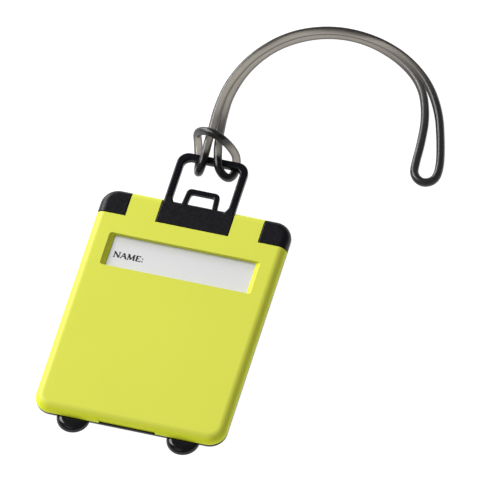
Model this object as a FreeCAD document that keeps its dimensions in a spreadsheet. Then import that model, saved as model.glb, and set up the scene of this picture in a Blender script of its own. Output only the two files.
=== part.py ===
import FreeCAD, Part
import Sketcher
import math
import os

# Trolley-case luggage tag, in millimetres.
# The tag lies on its back: X across the tag, Y towards the handle, Z out of the front face.
# The origin is on the resting plane, midway along the tag from the wheels to the handle's top bar.

doc = FreeCAD.newDocument("LuggageTag")
sheet = doc.addObject("Spreadsheet::Sheet", "Dims")

dimensions = {
    # case
    "caseWidth": 55.0,
    "caseBottom": -43.2,
    "caseTop": 31.1,
    "caseDepth": 4.8,
    "partingLevel": 2.2,
    "wallThickness": 1.3,
    "frontThickness": 1.2,
    "floorThickness": 1.1,
    "planCorner": 5.0,
    "frontRound": 2.45,
    "backRound": 1.9,
    "partGap": 0.1,
    "seamGap": 0.15,
    "seamRound": 0.3,
    # window in the front cover
    "windowWidth": 43.6,
    "windowLow": 5.6,
    "windowHigh": 16.35,
    "windowSlope": 1.4,
    "windowCorner": 0.6,
    # black corner guards and the handle block between them
    "guardInner": 19.13,
    "guardLow": 22.45,
    "blockHalf": 10.57,
    "pegRadius": 0.9,
    "pegDepth": 0.8,
    # nail notch in the cover's bottom edge
    "notchHalf": 8.1,
    "notchDepth": 0.45,
    # sliding card tray
    "trayHalf": 23.3,
    "trayBottom": -37.2,
    "trayThickness": 1.3,
    "traySetback": 0.4,
    "earHalf": 25.0,
    "earLow": -34.5,
    "earHigh": -30.0,
    "railInner": 11.0,
    "railWidth": 1.6,
    "railHeight": 1.0,
    "lipHeight": 0.9,
    "lipThickness": 0.6,
    # paper card
    "cardHalf": 22.1,
    "cardLow": -31.0,
    "cardHigh": 20.6,
    "cardThickness": 0.25,
    "cardRecess": 0.3,
    # pull handle and the small carry handle inside it
    "handleHalf": 10.25,
    "handleTop": 46.9,
    "handleBar": 2.15,
    "handleBack": 2.55,
    "handleThickness": 2.2,
    "handleOuterCorner": 3.3,
    "handleInnerCorner": 2.0,
    "handleRound": 0.6,
    "handleFlare": 1.5,
    "handleFlareRise": 0.6,
    "handleFlareCurve": 1.5,
    "carryBase": 5.25,
    "carryShoulder": 4.7,
    "carryTop": 35.6,
    "carryBar": 1.45,
    "carryThickness": 1.7,
    "carryCorner": 1.5,
    "carryInnerCorner": 0.7,
    "carryRound": 0.4,
    # wheels
    "wheelSpacing": 15.8,
    "wheelRadius": 4.7,
    "wheelCentre": -42.2,
    "wheelBack": 0.1,
    "wheelThickness": 2.0,
    "wheelFrontRound": 1.75,
    "wheelBackRound": 0.2,
    "wheelPegRadius": 0.8,
    "wheelPegTop": 4.1,
    "wheelPegRise": 2.6,
    # strap
    "strapDiameter": 2.4,
}

for row, (alias, number) in enumerate(dimensions.items(), start=1):
    sheet.set(f"A{row}", alias)
    sheet.set(f"B{row}", str(number))
    sheet.setAlias(f"B{row}", alias)
doc.recompute()

# The strap's route, hitched round the handle's top bar and laid out in one long loop.
strapRoute = [
    # from behind the bar, up and over the two long strands, and down behind the bar again
    (-5.0, 46.7, 1.2), (-5.8, 49.2, 1.2), (-6.7, 52.2, 2.1), (-7.2, 53.4, 5.1), (-4.9, 52.7, 8.1),
    (-1.5, 51.7, 9.3), (1.7, 50.7, 8.3), (3.9, 50.0, 6.0), (5.2, 49.6, 3.2), (5.7, 47.6, 1.2),
    # under the bar's right half and up in front of it
    (5.8, 44.7, 1.2), (4.7, 42.3, 2.4), (2.7, 42.1, 4.8), (1.3, 44.2, 6.1), (0.6, 47.6, 6.1),
    # the long strand on the inside of the bend
    (-0.3, 51.2, 5.7), (-1.2, 55.8, 3.8), (-2.3, 62.2, 1.8), (-2.7, 70.2, 1.2), (-0.2, 80.4, 1.2),
    (6.3, 89.8, 1.2), (16.8, 95.8, 1.2), (28.5, 96.8, 1.2), (40.2, 92.7, 1.2), (48.8, 85.6, 1.2),
    (52.7, 75.8, 1.2), (53.8, 66.2, 1.2), (54.0, 60.0, 1.2),
    # the turn at the loop's far end
    (54.5, 56.1, 1.2), (57.6, 53.9, 1.2), (60.9, 55.7, 1.2), (61.0, 60.6, 1.2),
    # back along the outside, resting on the first strand
    (59.0, 68.4, 1.2), (56.0, 77.6, 2.0), (50.6, 85.8, 3.2), (42.0, 92.3, 3.8), (31.5, 96.0, 3.8),
    (20.0, 96.2, 3.8), (9.0, 91.8, 3.8), (0.9, 83.0, 3.8), (-3.4, 72.5, 3.7), (-4.0, 62.8, 4.2),
    (-3.2, 55.2, 5.7), (-3.0, 50.4, 6.3),
    # down in front of the bar's left half, under it and up behind it
    (-2.7, 46.9, 6.4), (-2.5, 43.7, 6.3), (-3.1, 42.2, 3.8), (-4.2, 43.7, 1.2), (-4.8, 46.2, 1.2),
]


class Size:
    """A length together with the sheet expression that gives it."""

    def __init__(self, value, text):
        self.value = value
        self.text = text

    def join(self, other, sign):
        if not isinstance(other, Size):
            other = Size(other, str(other))
        value = self.value + other.value if sign == "+" else self.value - other.value
        return Size(value, f"({self.text} {sign} {other.text})")

    def __add__(self, other):
        return self.join(other, "+")

    def __sub__(self, other):
        return self.join(other, "-")

    def __neg__(self):
        return Size(-self.value, f"(0 - {self.text})")

    def __mul__(self, number):
        return Size(self.value * number, f"({self.text} * {number})")


def dim(alias):
    return Size(dimensions[alias], f"Dims.{alias}")


def newBody(name):
    body = doc.addObject("PartDesign::Body", name)
    body.Label = name
    return body


def newSketch(body, name, level):
    sketch = body.newObject("Sketcher::SketchObject", name)
    flat = next(item for item in body.Origin.OriginFeatures if item.Role == "XY_Plane")
    sketch.AttachmentSupport = [(flat, "")]
    sketch.MapMode = "FlatFace"
    sketch.setExpression("AttachmentOffset.Base.z", level.text)
    return sketch


def bindPoint(sketch, line, end, point):
    for kind, size in zip(("DistanceX", "DistanceY"), point):
        index = sketch.addConstraint(Sketcher.Constraint(kind, line, end, size.value))
        sketch.setExpression(f"Constraints[{index}]", size.text)


def polygon(body, name, level, points):
    """A closed outline whose every corner is bound to the sheet."""
    sketch = newSketch(body, name, level)
    corners = [FreeCAD.Vector(x.value, y.value, 0) for x, y in points]
    count = len(corners)
    for i in range(count):
        sketch.addGeometry(Part.LineSegment(corners[i], corners[(i + 1) % count]), False)
    for i in range(count):
        sketch.addConstraint(Sketcher.Constraint("Coincident", i, 2, (i + 1) % count, 1))
    for i in range(count):
        bindPoint(sketch, i, 1, points[i])
    return sketch


def rectangle(body, name, level, left, right, low, high):
    return polygon(body, name, level, [(left, low), (right, low), (right, high), (left, high)])


def circle(body, name, level, x, y, radius):
    sketch = newSketch(body, name, level)
    centre = FreeCAD.Vector(x.value, y.value, 0)
    sketch.addGeometry(Part.Circle(centre, FreeCAD.Vector(0, 0, 1), radius.value), False)
    bindPoint(sketch, 0, 3, (x, y))
    index = sketch.addConstraint(Sketcher.Constraint("Radius", 0, radius.value))
    sketch.setExpression(f"Constraints[{index}]", radius.text)
    return sketch


def pad(body, sketch, height):
    feature = body.newObject("PartDesign::Pad", sketch.Name + "Pad")
    feature.Profile = sketch
    feature.setExpression("Length", height.text)
    doc.recompute()
    return feature


def pocket(body, sketch, depth=None):
    """Cuts from the sketch towards the back, through everything when no depth is given."""
    feature = body.newObject("PartDesign::Pocket", sketch.Name + "Pocket")
    feature.Profile = sketch
    before = body.Shape.Volume
    if depth is None:
        feature.Type = "ThroughAll"
    else:
        feature.setExpression("Length", depth.text)
    doc.recompute()
    if body.Shape.Volume > before - 1e-3:
        raise RuntimeError(f"{feature.Name} cuts nothing")
    return feature


def roundEdges(body, name, radius, test):
    """Rounds the edges of the body whose bounding box passes the test."""
    base = body.Tip
    picked = [f"Edge{i + 1}" for i, edge in enumerate(base.Shape.Edges) if test(edge.BoundBox)]
    if not picked:
        raise RuntimeError(f"{name} finds no edges")
    feature = body.newObject("PartDesign::Fillet", name)
    feature.Base = (base, picked)
    feature.setExpression("Radius", radius.text)
    doc.recompute()
    return feature


def near(a, b):
    return abs(a - b) < 1e-3


def upright(box, x=None, y=None):
    """An edge that runs along Z, at the given place."""
    here = (x is None or near(box.XMin, x)) and (y is None or near(box.YMin, y))
    return here and near(box.XLength, 0) and near(box.YLength, 0) and box.ZLength > 0.1


half = dim("caseWidth") * 0.5
bottom = dim("caseBottom")
top = dim("caseTop")
front = dim("caseDepth")
parting = dim("partingLevel")
gap = dim("partGap")
seam = dim("seamGap")
innerHalf = half - dim("wallThickness")
innerBottom = bottom + dim("wallThickness")
ceiling = front - dim("frontThickness")
guardLow = dim("guardLow")
guardInner = dim("guardInner")
trayHalf = dim("trayHalf")
slotHalf = trayHalf + gap * 2
trayBack = parting
trayFront = trayBack + dim("trayThickness")
over = top + 1.0
# how far a peg starts inside its own part, so that the two fuse
rooted = 0.5
zero = Size(0.0, "0")


def caseOutline(body, level, height):
    """The rounded rectangle that both covers share."""
    pad(body, rectangle(body, body.Name + "Outline", level, -half, half, bottom, top), height)
    roundEdges(body, body.Name + "PlanCorners", dim("planCorner"), lambda box: upright(box))


def cavity(body, name, level, high):
    """The hollow inside a cover, its lower corners cut off to follow the rounded corners outside."""
    cut = (dim("planCorner") - dim("wallThickness")) * 0.6
    points = [
        (cut - innerHalf, innerBottom), (innerHalf - cut, innerBottom),
        (innerHalf, innerBottom + cut), (innerHalf, high),
        (-innerHalf, high), (-innerHalf, innerBottom + cut),
    ]
    return polygon(body, name, level, points)


def wheelX(side):
    return dim("wheelSpacing") * side


def makeFrontCover():
    body = newBody("front_cover")
    caseOutline(body, parting, front - parting)
    roundEdges(body, "FrontRound", dim("frontRound"),
               lambda box: near(box.ZMin, front.value) and near(box.ZMax, front.value))
    pocket(body, cavity(body, "FrontCavity", ceiling, guardLow + 0.5))
    pocket(body, rectangle(body, "FrontSlot", ceiling, -slotHalf, slotHalf, guardLow, over))
    for side, name in ((-1, "Left"), (1, "Right")):
        inner = guardInner * side
        outer = (half + 1.0) * side
        corner = polygon(body, f"Guard{name}Cut", front + 1.0,
                         [(inner, guardLow), (outer, guardLow), (outer, over), (inner, over)])
        pocket(body, corner)
        peg = circle(body, f"Wheel{name}Socket", dim("wheelPegTop") + gap, wheelX(side),
                     dim("wheelCentre") + dim("wheelPegRise"), dim("wheelPegRadius") + gap)
        pocket(body, peg, dim("wheelPegTop") + gap - ceiling)
    block = dim("blockHalf")
    pocket(body, rectangle(body, "BlockCut", front + 1.0, -block, block, guardLow, over))
    notch = dim("notchHalf")
    pocket(body, rectangle(body, "NailNotch", front + 1.0, -notch, notch,
                           bottom - 1.0, bottom + dim("notchDepth")))
    cutWindow(body)
    return body


def cutWindow(body):
    """The window narrows towards the card at its two ends."""
    wide = dim("windowWidth") * 0.5
    narrow = wide - dim("windowSlope")
    low = dim("windowLow")
    high = dim("windowHigh")
    behind = rectangle(body, "WindowBack", ceiling, -narrow, narrow, low, high)
    ahead = rectangle(body, "WindowFront", front, -wide, wide, low, high)
    loft = body.newObject("PartDesign::SubtractiveLoft", "Window")
    loft.Profile = ahead
    loft.Sections = [behind]
    loft.Ruled = True
    doc.recompute()
    slope = dim("windowSlope").value
    roundEdges(body, "WindowCorners", dim("windowCorner"),
               lambda box: near(box.ZMax, front.value) and near(box.XLength, slope))


def makeBackCover():
    body = newBody("back_cover")
    caseOutline(body, zero, parting)
    roundEdges(body, "BackRound", dim("backRound"),
               lambda box: near(box.ZMin, 0) and near(box.ZMax, 0))
    floor = parting - dim("floorThickness")
    pocket(body, cavity(body, "BackCavity", parting, guardLow), floor)
    pocket(body, rectangle(body, "BackCavityTop", parting, -slotHalf, slotHalf, guardLow - 0.5,
                           top - dim("wallThickness")), floor)
    pocket(body, rectangle(body, "BackSill", parting, -slotHalf, slotHalf, guardLow, over), gap)
    for side, name in ((-1, "Left"), (1, "Right")):
        wheel = circle(body, f"Wheel{name}Seat", parting + 1.0, wheelX(side), dim("wheelCentre"),
                       dim("wheelRadius") + gap * 0.5)
        pocket(body, wheel)
        peg = circle(body, f"Guard{name}Socket", parting, guardPegX(side), guardPegY,
                     dim("pegRadius") + gap * 0.5)
        pocket(body, peg, dim("pegDepth") + gap)
        inner = dim("railInner") * side
        outer = (dim("railInner") + dim("railWidth")) * side
        points = [(inner, railLow), (outer, railLow), (outer, railHigh), (inner, railHigh)]
        rail = polygon(body, f"Rail{name}", dim("floorThickness"), points)
        pad(body, rail, dim("railHeight"))
        lipOuter = (innerHalf - gap) * side
        lipInner = (innerHalf - gap - dim("lipThickness")) * side
        points = [(lipInner, lipLow), (lipOuter, lipLow), (lipOuter, lipHigh), (lipInner, lipHigh)]
        lip = polygon(body, f"Lip{name}", dim("floorThickness"), points)
        pad(body, lip, floor + dim("lipHeight"))
    return body


railLow = bottom + 8.0
railHigh = top - dim("wallThickness") + 0.2
lipLow = bottom + 9.0
lipHigh = guardLow - 1.0
guardPegY = guardLow + 4.0


def guardPegX(side):
    return (half - 2.2) * side


def onOutline(box, side):
    """True for the guard's outer edges: the side, the corner arc and the top."""
    farSide = max(box.XMax * side, box.XMin * side)
    nearSide = min(box.XMax * side, box.XMin * side)
    corner = dim("planCorner").value
    along = near(nearSide, half.value) or near(box.YMin, top.value)
    arc = near(farSide, half.value) and near(box.YMax, top.value) and near(box.XLength, corner)
    return along or arc


def onSeam(box, inner, low):
    """True for the guard's two straight edges that meet the yellow cover."""
    return near(box.YMax, low) or near(box.XLength, 0) and near(box.XMin, inner)


def makeCornerGuard(name, side):
    """A cap over one top corner: a front plate and the thick corner wall beside the tray's slot."""
    body = newBody(name)
    inner = (guardInner + seam) * side
    outer = half * side
    low = guardLow + seam
    points = [(inner, low), (outer, low), (outer, top), (inner, top)]
    pad(body, polygon(body, name + "Plan", parting, points), front - parting)
    roundEdges(body, name + "Corner", dim("planCorner"),
               lambda box: upright(box, outer.value, top.value))
    roundEdges(body, name + "Round", dim("frontRound"),
               lambda box: near(box.ZMin, front.value) and onOutline(box, side))
    roundEdges(body, name + "Seam", dim("seamRound"),
               lambda box: near(box.ZMin, front.value) and onSeam(box, inner.value, low.value))
    edge = slotHalf * side
    clear = (guardInner - 1.0) * side
    points = [(clear, low - 1.0), (edge, low - 1.0), (edge, over), (clear, over)]
    pocket(body, polygon(body, name + "Slot", ceiling, points))
    pegBack = parting - dim("pegDepth")
    peg = circle(body, name + "Peg", pegBack, guardPegX(side), guardPegY, dim("pegRadius"))
    pad(body, peg, dim("pegDepth") + rooted)
    return body


def makeWheel(name, side):
    """A fixed half-exposed wheel: a disc with a well rounded front edge and a locating peg."""
    body = newBody(name)
    back = dim("wheelBack")
    face = back + dim("wheelThickness")
    disc = circle(body, name + "Disc", back, wheelX(side), dim("wheelCentre"), dim("wheelRadius"))
    pad(body, disc, dim("wheelThickness"))
    roundEdges(body, name + "Front", dim("wheelFrontRound"), lambda box: near(box.ZMin, face.value))
    roundEdges(body, name + "Back", dim("wheelBackRound"),
               lambda box: box.XLength > 1.0 and near(box.ZMax, back.value))
    pegY = dim("wheelCentre") + dim("wheelPegRise")
    peg = circle(body, name + "Peg", back + rooted, wheelX(side), pegY, dim("wheelPegRadius"))
    pad(body, peg, dim("wheelPegTop") - back - rooted)
    return body


def makeTray():
    """The sliding tray and the front block at its top end."""
    body = newBody("TrayAndBlock")
    block = dim("blockHalf") - seam
    blockLow = guardLow + seam
    pad(body, rectangle(body, "Block", trayBack, -block, block, blockLow, top), front - trayBack)
    roundEdges(body, "BlockRound", dim("frontRound"),
               lambda box: near(box.ZMin, front.value) and near(box.YMin, top.value))
    roundEdges(body, "BlockSeam", dim("seamRound"),
               lambda box: near(box.ZMin, front.value) and box.YMin < top.value - 3.0)
    trayTop = top - dim("traySetback")
    tray = rectangle(body, "Tray", trayBack, -trayHalf, trayHalf, dim("trayBottom"), trayTop)
    pad(body, tray, dim("trayThickness"))
    ear = dim("earHalf")
    ears = rectangle(body, "Ears", trayBack, -ear, ear, dim("earLow"), dim("earHigh"))
    pad(body, ears, dim("trayThickness"))
    recess = dim("cardHalf") + gap
    pocket(body, rectangle(body, "CardRecess", trayFront, -recess, recess, dim("cardLow") - gap,
                           dim("cardHigh") + gap), dim("cardRecess"))
    return body


def makeCardSlide():
    """Tray, front block, pull handle and carry handle, moulded in one."""
    slide = doc.addObject("Part::MultiFuse", "card_slide")
    slide.Label = "card_slide"
    slide.Shapes = [makeTray(), makePullHandle(), makeCarryHandle()]
    slide.Refine = True
    doc.recompute()
    return slide


def makePullHandle():
    body = newBody("PullHandleBars")
    outer = dim("handleHalf")
    inner = outer - dim("handleBar")
    high = dim("handleTop")
    under = high - dim("handleBar")
    root = top - dim("frontRound")
    back = dim("handleBack")
    flared = inner - dim("handleFlare")
    straight = top + dim("handleFlareRise")
    points = [(-outer, root), (-flared, root), (-inner, straight), (-inner, under), (inner, under),
              (inner, straight), (flared, root), (outer, root), (outer, high), (-outer, high)]
    pad(body, polygon(body, "PullHandle", back, points), dim("handleThickness"))
    roundEdges(body, "PullHandleFlare", dim("handleFlareCurve"),
               lambda box: upright(box, y=straight.value))
    roundEdges(body, "PullHandleOuter", dim("handleOuterCorner"),
               lambda box: upright(box, y=high.value))
    roundEdges(body, "PullHandleInner", dim("handleInnerCorner"),
               lambda box: upright(box, y=under.value))
    softenBars(body, "PullHandleRound", dim("handleRound"))
    return body


def makeCarryHandle():
    body = newBody("CarryHandleBars")
    base = dim("carryBase")
    shoulder = dim("carryShoulder")
    bar = dim("carryBar")
    high = dim("carryTop")
    under = high - bar
    root = top - dim("frontRound")
    back = dim("handleBack") + (dim("handleThickness") - dim("carryThickness")) * 0.5
    points = [(-base, root), (bar - base, root), (bar - shoulder, under), (shoulder - bar, under),
              (base - bar, root), (base, root), (shoulder, high), (-shoulder, high)]
    pad(body, polygon(body, "CarryHandle", back, points), dim("carryThickness"))
    roundEdges(body, "CarryHandleOuter", dim("carryCorner"),
               lambda box: upright(box, y=high.value))
    roundEdges(body, "CarryHandleInner", dim("carryInnerCorner"),
               lambda box: upright(box, y=under.value))
    softenBars(body, "CarryHandleRound", dim("carryRound"))
    return body


def softenBars(body, name, radius):
    """Rounds the long edges of a handle's bars, front and back, but not their buried ends."""
    roundEdges(body, name, radius, lambda box: near(box.ZLength, 0) and box.YMax > top.value)


def makeNameCard():
    body = newBody("name_card")
    card = rectangle(body, "Card", trayFront - dim("cardRecess"), -dim("cardHalf"), dim("cardHalf"),
                     dim("cardLow"), dim("cardHigh"))
    pad(body, card, dim("cardThickness"))
    return body


def roundCorner(before, corner, after):
    """The tangent arc at a corner of the route, as large as its two runs allow, and its radius."""
    toBefore = before - corner
    toAfter = after - corner
    reach = 0.45 * min(toBefore.Length, toAfter.Length)
    halfTurn = (math.pi - toBefore.getAngle(toAfter)) * 0.5
    radius = reach / math.tan(halfTurn)
    toBefore.normalize()
    toAfter.normalize()
    inward = (toBefore + toAfter).normalize()
    middle = corner + inward * (radius / math.cos(halfTurn) - radius)
    return Part.Arc(corner + toBefore * reach, middle, corner + toAfter * reach), radius


def makeStrapLoop():
    """A round cord of straight runs and tangent arcs. Its two ends meet out of sight behind the bar."""
    points = [FreeCAD.Vector(*point) for point in strapRoute]
    edges = []
    radii = []
    here = points[0]
    for before, corner, after in zip(points, points[1:], points[2:]):
        arc, radius = roundCorner(before, corner, after)
        edges.append(Part.LineSegment(here, arc.StartPoint).toShape())
        edges.append(arc.toShape())
        here = arc.EndPoint
        radii.append(radius)
    edges.append(Part.LineSegment(here, points[-1]).toShape())
    path = Part.Wire(edges)
    cordRadius = sheet.get("strapDiameter") * 0.5
    section = Part.Face(Part.Wire(Part.makeCircle(cordRadius, points[0], points[1] - points[0])))
    strap = doc.addObject("Part::Feature", "strap_loop")
    strap.Label = "strap_loop"
    strap.Shape = path.makePipe(section)
    strap.Placement = FreeCAD.Placement()
    filled = strap.Shape.Volume / (section.Area * path.Length)
    print(f"strap: smallest radius {min(radii):.1f} mm, length {path.Length:.1f} mm, filled {filled:.4f}")
    if abs(filled - 1.0) > 0.01:
        raise RuntimeError("the strap's tube has lost its section")
    return strap


pieces = [
    makeFrontCover(),
    makeBackCover(),
    makeCornerGuard("corner_guard_left", -1),
    makeCornerGuard("corner_guard_right", 1),
    makeWheel("wheel_left", -1),
    makeWheel("wheel_right", 1),
    makeCardSlide(),
    makeNameCard(),
    makeStrapLoop(),
]

doc.recompute()
for item in doc.Objects:
    if "Invalid" in item.State or "Error" in item.State:
        raise RuntimeError(f"{item.Name} failed: {item.State}")
os.makedirs("parts", exist_ok=True)
for piece in pieces:
    shape = piece.Shape
    if shape.isNull() or not shape.isValid() or len(shape.Solids) != 1:
        raise RuntimeError(f"{piece.Label} is not one valid solid")
    shape.exportStep(f"parts/{piece.Label}.step")
    print(f"{piece.Label}: {shape.Volume:.1f} mm3, box {shape.BoundBox}")
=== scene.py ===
import bpy
import bmesh
import math
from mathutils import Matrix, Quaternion, Vector


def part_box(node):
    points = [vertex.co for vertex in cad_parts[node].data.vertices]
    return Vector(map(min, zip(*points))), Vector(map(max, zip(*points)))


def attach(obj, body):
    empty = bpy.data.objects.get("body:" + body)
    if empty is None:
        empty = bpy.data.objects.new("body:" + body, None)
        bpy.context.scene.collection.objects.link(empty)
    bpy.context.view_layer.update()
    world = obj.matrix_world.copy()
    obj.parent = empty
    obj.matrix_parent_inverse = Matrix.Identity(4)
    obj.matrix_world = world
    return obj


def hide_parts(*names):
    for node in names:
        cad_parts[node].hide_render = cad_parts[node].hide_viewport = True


# trolley-case luggage tag: the shells, wheels and card tray come from the frame,
# the cord, the printed heading and every finish are made here

mm = 0.001
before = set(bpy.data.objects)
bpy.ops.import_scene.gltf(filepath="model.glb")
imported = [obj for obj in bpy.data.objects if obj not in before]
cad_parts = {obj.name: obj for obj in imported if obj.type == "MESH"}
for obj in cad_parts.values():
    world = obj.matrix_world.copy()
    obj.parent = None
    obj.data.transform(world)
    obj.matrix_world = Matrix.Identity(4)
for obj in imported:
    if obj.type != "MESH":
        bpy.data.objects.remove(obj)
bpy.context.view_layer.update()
print("frame loaded:", ", ".join(sorted(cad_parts)))


def newMaterial(name):
    material = bpy.data.materials.new(name)
    material.use_nodes = True
    tree = material.node_tree
    shader = tree.nodes["Principled BSDF"]
    return material, tree, shader


def objectNoise(tree, scale, detail=3.0, roughness=0.6):
    place = tree.nodes.new("ShaderNodeTexCoord")
    noise = tree.nodes.new("ShaderNodeTexNoise")
    noise.inputs["Scale"].default_value = scale
    noise.inputs["Detail"].default_value = detail
    noise.inputs["Roughness"].default_value = roughness
    tree.links.new(place.outputs["Object"], noise.inputs["Vector"])
    return noise.outputs["Fac"]


# the band of values that noise mostly falls in
noiseLow = 0.3
noiseHigh = 0.7


def spread(tree, factor, low, high):
    stretch = tree.nodes.new("ShaderNodeMapRange")
    stretch.inputs["From Min"].default_value = noiseLow
    stretch.inputs["From Max"].default_value = noiseHigh
    stretch.inputs["To Min"].default_value = low
    stretch.inputs["To Max"].default_value = high
    tree.links.new(factor, stretch.inputs["Value"])
    return stretch.outputs["Result"]


def tint(tree, factor, first, second):
    mix = tree.nodes.new("ShaderNodeMix")
    mix.data_type = "RGBA"
    mix.inputs["A"].default_value = (*first, 1)
    mix.inputs["B"].default_value = (*second, 1)
    tree.links.new(factor, mix.inputs["Factor"])
    return mix.outputs["Result"]


def shade(tree, factor, base, colour):
    mix = tree.nodes.new("ShaderNodeMix")
    mix.data_type = "RGBA"
    mix.inputs["B"].default_value = (*colour, 1)
    tree.links.new(base, mix.inputs["A"])
    tree.links.new(factor, mix.inputs["Factor"])
    return mix.outputs["Result"]


def objectAxes(tree, source="Object"):
    place = tree.nodes.new("ShaderNodeTexCoord")
    axes = tree.nodes.new("ShaderNodeSeparateXYZ")
    tree.links.new(place.outputs[source], axes.inputs["Vector"])
    return axes


def ramp(tree, value, start, end):
    step = tree.nodes.new("ShaderNodeMapRange")
    step.interpolation_type = "SMOOTHSTEP"
    step.inputs["From Min"].default_value = start
    step.inputs["From Max"].default_value = end
    tree.links.new(value, step.inputs["Value"])
    return step.outputs["Result"]


def blend(tree, factor, first, second):
    mix = tree.nodes.new("ShaderNodeMix")
    mix.inputs["B"].default_value = second
    tree.links.new(first, mix.inputs["A"])
    tree.links.new(factor, mix.inputs["Factor"])
    return mix.outputs["Result"]


def grain(tree, shader, factor, strength, distance):
    bump = tree.nodes.new("ShaderNodeBump")
    bump.inputs["Strength"].default_value = strength
    bump.inputs["Distance"].default_value = distance
    tree.links.new(factor, bump.inputs["Height"])
    tree.links.new(bump.outputs["Normal"], shader.inputs["Normal"])


limeShell = {"light": (0.665, 0.695, 0.080), "deep": (0.63, 0.66, 0.070), "cloud": 35.0,
             # painted bounce light: a purer yellow below the front face, on the rounded edges and the
             # window's walls
             "wall": (0.69, 0.76, 0.020), "wallFrom": 4.72 * mm, "wallTo": 3.6 * mm,
             "smooth": 0.36, "rough": 0.46, "shine": 0.2,
             "grainScale": 5200.0, "grainDetail": 2.0, "grainStrength": 0.18, "grainDepth": 0.012 * mm}


def makeLimeShell():
    # painted bounce light: the rounded edges and the window's walls are painted a purer yellow than the
    # flat face, standing in for light bouncing in the plastic
    material, tree, shader = newMaterial("lime_shell")
    cloud = objectNoise(tree, limeShell["cloud"])
    face = tint(tree, cloud, limeShell["deep"], limeShell["light"])
    # painted bounce light, growing from just below the front face downwards
    wall = ramp(tree, objectAxes(tree).outputs["Z"], limeShell["wallFrom"], limeShell["wallTo"])
    colour = shade(tree, wall, face, limeShell["wall"])
    tree.links.new(colour, shader.inputs["Base Color"])
    fine = objectNoise(tree, limeShell["grainScale"], limeShell["grainDetail"])
    finish = spread(tree, fine, limeShell["smooth"], limeShell["rough"])
    tree.links.new(finish, shader.inputs["Roughness"])
    grain(tree, shader, fine, limeShell["grainStrength"], limeShell["grainDepth"])
    shader.inputs["Specular IOR Level"].default_value = limeShell["shine"]
    return material


blackTrim = {"light": (0.009, 0.008, 0.012), "deep": (0.001, 0.001, 0.002),
             "speckle": 2600.0, "speckleDetail": 2.0, "grainStrength": 0.45, "grainDepth": 0.09 * mm,
             "smooth": 0.30, "rough": 0.42, "shine": 0.18,
             "handleFrom": 30.9 * mm, "handleTo": 32.0 * mm, "handleRough": 0.2}


def makeBlackTrim():
    # fine matt grain on the block and guards, polished bars on the handle beyond them
    material, tree, shader = newMaterial("black_trim")
    speckle = objectNoise(tree, blackTrim["speckle"], blackTrim["speckleDetail"])
    colour = tint(tree, spread(tree, speckle, 0.0, 1.0), blackTrim["deep"], blackTrim["light"])
    tree.links.new(colour, shader.inputs["Base Color"])
    along = objectAxes(tree).outputs["Y"]
    handle = ramp(tree, along, blackTrim["handleFrom"], blackTrim["handleTo"])
    matt = spread(tree, speckle, blackTrim["smooth"], blackTrim["rough"])
    finish = blend(tree, handle, matt, blackTrim["handleRough"])
    tree.links.new(finish, shader.inputs["Roughness"])
    grain(tree, shader, speckle, blackTrim["grainStrength"], blackTrim["grainDepth"])
    shader.inputs["Specular IOR Level"].default_value = blackTrim["shine"]
    return material


blackShell = {"light": (0.008, 0.008, 0.009), "deep": (0.004, 0.004, 0.005), "cloud": 900.0,
              "smooth": 0.36, "rough": 0.5, "shine": 0.2,
              "grainStrength": 0.2, "grainDepth": 0.02 * mm}


def makeBlackShell():
    material, tree, shader = newMaterial("black_shell")
    cloud = objectNoise(tree, blackShell["cloud"])
    colour = tint(tree, cloud, blackShell["deep"], blackShell["light"])
    tree.links.new(colour, shader.inputs["Base Color"])
    finish = spread(tree, cloud, blackShell["smooth"], blackShell["rough"])
    tree.links.new(finish, shader.inputs["Roughness"])
    grain(tree, shader, cloud, blackShell["grainStrength"], blackShell["grainDepth"])
    shader.inputs["Specular IOR Level"].default_value = blackShell["shine"]
    return material


wheelGloss = {"light": (0.005, 0.005, 0.008), "deep": (0.002, 0.002, 0.003), "cloud": 420.0,
              "smooth": 0.14, "rough": 0.24, "shine": 0.35}


def makeWheelGloss():
    material, tree, shader = newMaterial("wheel_gloss")
    cloud = objectNoise(tree, wheelGloss["cloud"])
    colour = tint(tree, cloud, wheelGloss["deep"], wheelGloss["light"])
    tree.links.new(colour, shader.inputs["Base Color"])
    finish = spread(tree, cloud, wheelGloss["smooth"], wheelGloss["rough"])
    tree.links.new(finish, shader.inputs["Roughness"])
    shader.inputs["Specular IOR Level"].default_value = wheelGloss["shine"]
    return material


cardPaper = {"light": (0.665, 0.665, 0.675), "deep": (0.635, 0.635, 0.645),
             "fibre": 1800.0, "fibreDetail": 4.0, "fibreRoughness": 0.7,
             "fibreStrength": 0.3, "fibreDepth": 0.01 * mm, "roughness": 0.6}


def makeCardPaper():
    material, tree, shader = newMaterial("card_paper")
    fibre = objectNoise(tree, cardPaper["fibre"], cardPaper["fibreDetail"], cardPaper["fibreRoughness"])
    colour = tint(tree, fibre, cardPaper["deep"], cardPaper["light"])
    tree.links.new(colour, shader.inputs["Base Color"])
    shader.inputs["Roughness"].default_value = cardPaper["roughness"]
    grain(tree, shader, fibre, cardPaper["fibreStrength"], cardPaper["fibreDepth"])
    return material


headingInk = {"light": (0.012, 0.012, 0.016), "deep": (0.004, 0.004, 0.006),
              "fibre": 3000.0, "roughness": 0.7}


def makeInk():
    material, tree, shader = newMaterial("heading_ink")
    fibre = objectNoise(tree, headingInk["fibre"])
    colour = tint(tree, fibre, headingInk["deep"], headingInk["light"])
    tree.links.new(colour, shader.inputs["Base Color"])
    shader.inputs["Roughness"].default_value = headingInk["roughness"]
    return material


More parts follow.
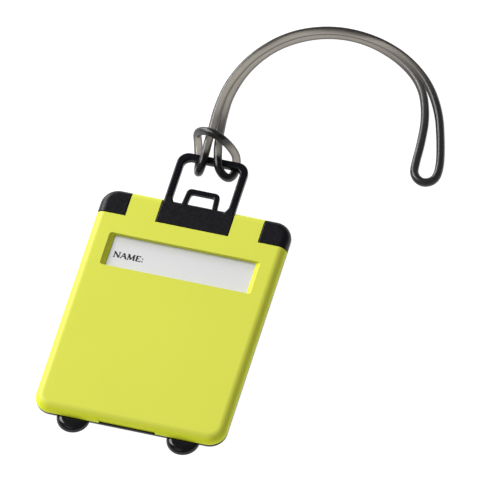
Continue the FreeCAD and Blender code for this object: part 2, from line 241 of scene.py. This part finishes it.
smokyCord = {
    "light": (0.34, 0.31, 0.27), "deep": (0.26, 0.24, 0.205), "cloud": 160.0,
    # painted shade: where the darker tint begins and is full, along each axis: the far end, the hitch's
    # top, the bar
    "paintedShades": [
        ("X", 30 * mm, 56 * mm, (0.016, 0.015, 0.016)),
        ("Z", 5.6 * mm, 8.6 * mm, (0.016, 0.015, 0.016)),
        ("Y", 47.8 * mm, 45.6 * mm, (0.002, 0.002, 0.002)),
    ],
    # painted shade on the cord's side that faces away from the tag
    "outer": (0.016, 0.015, 0.016), "outerFrom": 0.0, "outerTo": 0.6,
    # painted shade at the cord's edges, darker where it is seen edge-on
    "edge": (0.010, 0.010, 0.011), "edgeBlend": 0.5, "edgeFrom": 0.10, "edgeTo": 0.52,
    "roughness": 0.3, "ior": 1.42, "shine": 0.2,
}


def makeSmokyCord():
    # painted shade: the cord's colour is darkened towards its far end, over the hitch's top, round the
    # bar, on the side away from the tag and at its edges
    material, tree, shader = newMaterial("smoky_cord")
    cloud = objectNoise(tree, smokyCord["cloud"])
    colour = tint(tree, cloud, smokyCord["deep"], smokyCord["light"])
    axes = objectAxes(tree)
    # painted shade, ramped along each axis
    for axis, start, end, shadeColour in smokyCord["paintedShades"]:
        shadeMask = ramp(tree, axes.outputs[axis], start, end)
        colour = shade(tree, shadeMask, colour, shadeColour)
    # painted shade on the side away from the tag, by the surface's direction
    outward = objectAxes(tree, "Normal").outputs["Y"]
    outer = ramp(tree, outward, smokyCord["outerFrom"], smokyCord["outerTo"])
    colour = shade(tree, outer, colour, smokyCord["outer"])
    # painted shade at the edges, where the cord is seen edge-on
    facing = tree.nodes.new("ShaderNodeLayerWeight")
    facing.inputs["Blend"].default_value = smokyCord["edgeBlend"]
    edge = ramp(tree, facing.outputs["Facing"], smokyCord["edgeFrom"], smokyCord["edgeTo"])
    colour = shade(tree, edge, colour, smokyCord["edge"])
    tree.links.new(colour, shader.inputs["Base Color"])
    shader.inputs["Roughness"].default_value = smokyCord["roughness"]
    shader.inputs["IOR"].default_value = smokyCord["ior"]
    shader.inputs["Specular IOR Level"].default_value = smokyCord["shine"]
    shader.inputs["Transmission Weight"].default_value = 1.0
    return material


def paint(node, material):
    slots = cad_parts[node].data.materials
    slots.clear()
    slots.append(material)


blackTrimFinish = makeBlackTrim()
wheelFinish = makeWheelGloss()
finishes = {
    "front_cover": makeLimeShell(),
    "back_cover": makeBlackShell(),
    "corner_guard_left": blackTrimFinish,
    "corner_guard_right": blackTrimFinish,
    "card_slide": blackTrimFinish,
    "wheel_left": wheelFinish,
    "wheel_right": wheelFinish,
    "name_card": makeCardPaper(),
}
for node, finish in finishes.items():
    paint(node, finish)
print("shells, guards, wheels, tray and card painted")


# the cord loop, hitched round the handle's top bar
cord = {
    "diameter": 2.4 * mm,
    "roundSteps": 10,
    "lengthSteps": 16,
    "route": [
        # from behind the bar, up and over the two long strands, and down behind the bar again
        (-5.0, 46.7, 1.2), (-5.8, 49.2, 1.2), (-6.7, 52.2, 2.1), (-7.2, 53.4, 5.1), (-4.9, 52.7, 8.1),
        (-1.5, 51.7, 9.3), (1.7, 50.7, 8.3), (3.9, 50.0, 6.0), (5.2, 49.6, 3.2), (5.7, 47.6, 1.2),
        # under the bar's right half and up in front of it
        (5.8, 44.5, 1.2), (4.9, 42.1, 2.5), (3.1, 42.0, 4.8), (1.7, 43.6, 6.0), (0.6, 47.6, 6.1),
        # the long strand on the inside of the bend
        (-0.3, 51.2, 5.7), (-1.2, 55.8, 3.8), (-2.3, 62.2, 1.8), (-2.7, 70.2, 1.2), (-0.2, 80.4, 1.2),
        (6.3, 89.8, 1.2), (16.8, 95.8, 1.2), (28.5, 96.8, 1.2), (40.2, 92.7, 1.2), (48.8, 85.6, 1.2),
        (52.7, 75.8, 1.2), (53.8, 66.2, 1.2), (54.0, 60.0, 1.2),
        # the turn at the far end
        (54.5, 56.1, 1.2), (57.6, 53.9, 1.2), (60.9, 55.7, 1.2), (61.0, 60.6, 1.2),
        # back along the outside, resting on the first strand
        (59.0, 68.4, 1.2), (56.0, 77.6, 2.0), (50.6, 85.8, 3.2), (42.0, 92.3, 3.8), (31.5, 96.0, 3.8),
        (20.0, 96.2, 3.8), (9.0, 91.8, 3.8), (0.9, 83.0, 3.8), (-3.4, 72.5, 3.7), (-4.0, 62.8, 4.2),
        (-3.2, 55.2, 5.7), (-3.0, 50.4, 6.3),
        # down in front of the bar's left half, under it and up behind it
        (-2.7, 46.9, 6.4), (-2.6, 43.2, 6.3), (-3.3, 41.5, 3.8), (-4.3, 43.2, 1.2), (-4.8, 46.2, 1.2),
    ],
}


def makeCord():
    curve = bpy.data.curves.new("cord_loop", "CURVE")
    curve.dimensions = "3D"
    curve.bevel_depth = cord["diameter"] / 2
    curve.bevel_resolution = cord["roundSteps"]
    curve.use_fill_caps = True
    curve.resolution_u = cord["lengthSteps"]
    spline = curve.splines.new("NURBS")
    spline.points.add(len(cord["route"]) - 1)
    for point, place in zip(spline.points, cord["route"]):
        point.co = (*[value * mm for value in place], 1)
    spline.order_u = 3
    spline.use_endpoint_u = True
    loop = bpy.data.objects.new("cord_loop", curve)
    bpy.context.collection.objects.link(loop)
    curve.materials.append(makeSmokyCord())
    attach(loop, "slide")
    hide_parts("strap_loop")


makeCord()
print("cord loop hitched on")


# the printed heading on the card
heading = {
    "left": -19.15 * mm,
    "baseline": 9.5 * mm,
    "height": 1.75 * mm,
    "widen": 1.13,
    "thick": 0.50 * mm,
    "thin": 0.27 * mm,
    "serif": 0.24 * mm,
    "raise": 0.012 * mm,
}

# strokes in letter heights: start, end and weight; serifs: centre and half width
letters = {
    "N": {"width": 1.02,
          "strokes": [((0.16, 0), (0.16, 1), "thin"), ((0.14, 1), (0.86, 0), "thick"),
                      ((0.86, 0), (0.86, 1), "thin")],
          "serifs": [((0.16, 0), 0.16), ((0.1, 1), 0.12), ((0.86, 1), 0.16)]},
    "A": {"width": 0.98,
          "strokes": [((0.12, 0), (0.47, 1), "thin"), ((0.47, 1), (0.84, 0), "thick"),
                      ((0.26, 0.36), (0.7, 0.36), "thin")],
          "serifs": [((0.12, 0), 0.14), ((0.84, 0), 0.16)]},
    "M": {"width": 1.2,
          "strokes": [((0.16, 0), (0.2, 1), "thin"), ((0.2, 1), (0.58, 0.04), "thick"),
                      ((0.58, 0.04), (0.96, 1), "thin"), ((0.96, 1), (1.0, 0), "thick")],
          "serifs": [((0.16, 0), 0.15), ((0.14, 1), 0.1), ((1.0, 0), 0.17), ((1.02, 1), 0.1)]},
    "E": {"width": 0.86,
          "strokes": [((0.2, 0), (0.2, 1), "thick"), ((0.1, 0.97), (0.72, 0.97), "thin"),
                      ((0.2, 0.5), (0.58, 0.5), "thin"), ((0.1, 0.03), (0.76, 0.03), "thin"),
                      ((0.72, 0.97), (0.72, 0.8), "thin"), ((0.76, 0.03), (0.78, 0.22), "thin")],
          "serifs": [((0.58, 0.5), 0.03)]},
    ":": {"width": 0.4,
          "strokes": [((0.12, 0.08), (0.26, 0.08), "thick"), ((0.12, 0.6), (0.26, 0.6), "thick")],
          "serifs": []},
}


def addBar(mesh, start, end, weight, level):
    # one straight stroke, as a thin closed plate through the card's face
    along = (end - start).normalized()
    across = Vector((-along.y, along.x)) * weight / 2
    ring = [start + across, end + across, end - across, start - across]
    low = [mesh.verts.new((*point, level - heading["raise"])) for point in ring]
    top = [mesh.verts.new((*point, level + heading["raise"])) for point in ring]
    mesh.faces.new(top)
    mesh.faces.new(low[::-1])
    for i in range(len(ring)):
        j = (i + 1) % len(ring)
        mesh.faces.new((low[i], low[j], top[j], top[i]))


def makeHeading():
    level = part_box("name_card")[1][2]
    size = heading["height"]
    scale = Vector((size * heading["widen"], size))
    mesh = bmesh.new()
    x = heading["left"]
    for letter in "NAME:":
        shape = letters[letter]
        corner = Vector((x, heading["baseline"]))
        for start, end, weight in shape["strokes"]:
            ends = [corner + Vector(point) * scale for point in (start, end)]
            addBar(mesh, *ends, heading[weight], level)
        for centre, reach in shape["serifs"]:
            middle = corner + Vector(centre) * scale
            side = Vector((reach * size, 0))
            addBar(mesh, middle - side, middle + side, heading["serif"], level)
        x += shape["width"] * scale.x
    bmesh.ops.recalc_face_normals(mesh, faces=mesh.faces)
    data = bpy.data.meshes.new("card_heading")
    mesh.to_mesh(data)
    mesh.free()
    data.materials.append(makeInk())
    piece = bpy.data.objects.new("card_heading", data)
    bpy.context.collection.objects.link(piece)
    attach(piece, "slide")


makeHeading()
print("heading printed on the card")


# the table and the light
stageSet = {"floorSize": 12.0, "floorColour": (0.25, 0.25, 0.25), "floorDrop": 0.02 * mm,
            "floorRoughness": 0.9, "floorShine": 0.1, "glow": 0.97, "fill": 0.22}


def makeFloor():
    half = stageSet["floorSize"] / 2
    data = bpy.data.meshes.new("floor")
    corners = [(-half, -half, 0), (half, -half, 0), (half, half, 0), (-half, half, 0)]
    data.from_pydata(corners, [], [(0, 1, 2, 3)])
    material, tree, shader = newMaterial("pale_table")
    shader.inputs["Base Color"].default_value = (*stageSet["floorColour"], 1)
    shader.inputs["Roughness"].default_value = stageSet["floorRoughness"]
    shader.inputs["Specular IOR Level"].default_value = stageSet["floorShine"]
    shader.inputs["Emission Color"].default_value = (1, 1, 1, 1)
    shader.inputs["Emission Strength"].default_value = stageSet["glow"]
    data.materials.append(material)
    floor = bpy.data.objects.new("floor", data)
    floor.location.z = -stageSet["floorDrop"]
    bpy.context.collection.objects.link(floor)


def makeWorld():
    world = bpy.data.worlds.new("studio")
    world.use_nodes = True
    background = world.node_tree.nodes["Background"]
    background.inputs["Color"].default_value = (1, 1, 1, 1)
    background.inputs["Strength"].default_value = stageSet["fill"]
    bpy.context.scene.world = world


lamps = {
    "softbox_left": {"at": (-0.98, 0.20, 0.88), "size": 0.75, "power": 19.0},
    "softbox_rim": {"at": (-0.95, 0.85, 0.42), "size": 0.6, "power": 11.0},
    "softbox_front": {"at": (-0.35, -0.95, 0.85), "size": 0.9, "power": 1.5},
}


def makeLamp(name, lamp):
    light = bpy.data.lights.new(name, "AREA")
    light.shape = "SQUARE"
    light.size = lamp["size"]
    light.energy = lamp["power"]
    holder = bpy.data.objects.new(name, light)
    holder.location = lamp["at"]
    holder.rotation_euler = (-Vector(lamp["at"])).to_track_quat("-Z", "Y").to_euler()
    holder.visible_camera = False
    bpy.context.collection.objects.link(holder)


shot = {"target": (13.02 * mm, 24.97 * mm, 0), "azimuth": 21.8, "elevation": 56.9, "roll": -7.1,
        "distance": 5.0, "width": 133.3 * mm, "clipStart": 0.1, "clipEnd": 20}


def makeCamera():
    turn = math.radians(shot["azimuth"])
    lift = math.radians(shot["elevation"])
    back = Vector((math.sin(turn) * math.cos(lift), -math.cos(turn) * math.cos(lift), math.sin(lift)))
    data = bpy.data.cameras.new("camera")
    data.angle = 2 * math.atan(shot["width"] / 2 / shot["distance"])
    data.clip_start = shot["clipStart"]
    data.clip_end = shot["clipEnd"]
    camera = bpy.data.objects.new("camera", data)
    camera.rotation_mode = "QUATERNION"
    camera.location = Vector(shot["target"]) + back * shot["distance"]
    roll = Quaternion((0, 0, 1), math.radians(shot["roll"]))
    camera.rotation_quaternion = (-back).to_track_quat("-Z", "Y") @ roll
    bpy.context.collection.objects.link(camera)
    bpy.context.scene.camera = camera


makeFloor()
makeWorld()
for name, lamp in lamps.items():
    makeLamp(name, lamp)
makeCamera()
bpy.context.scene.view_settings.view_transform = "Standard"
print("floor, lamps and camera placed")
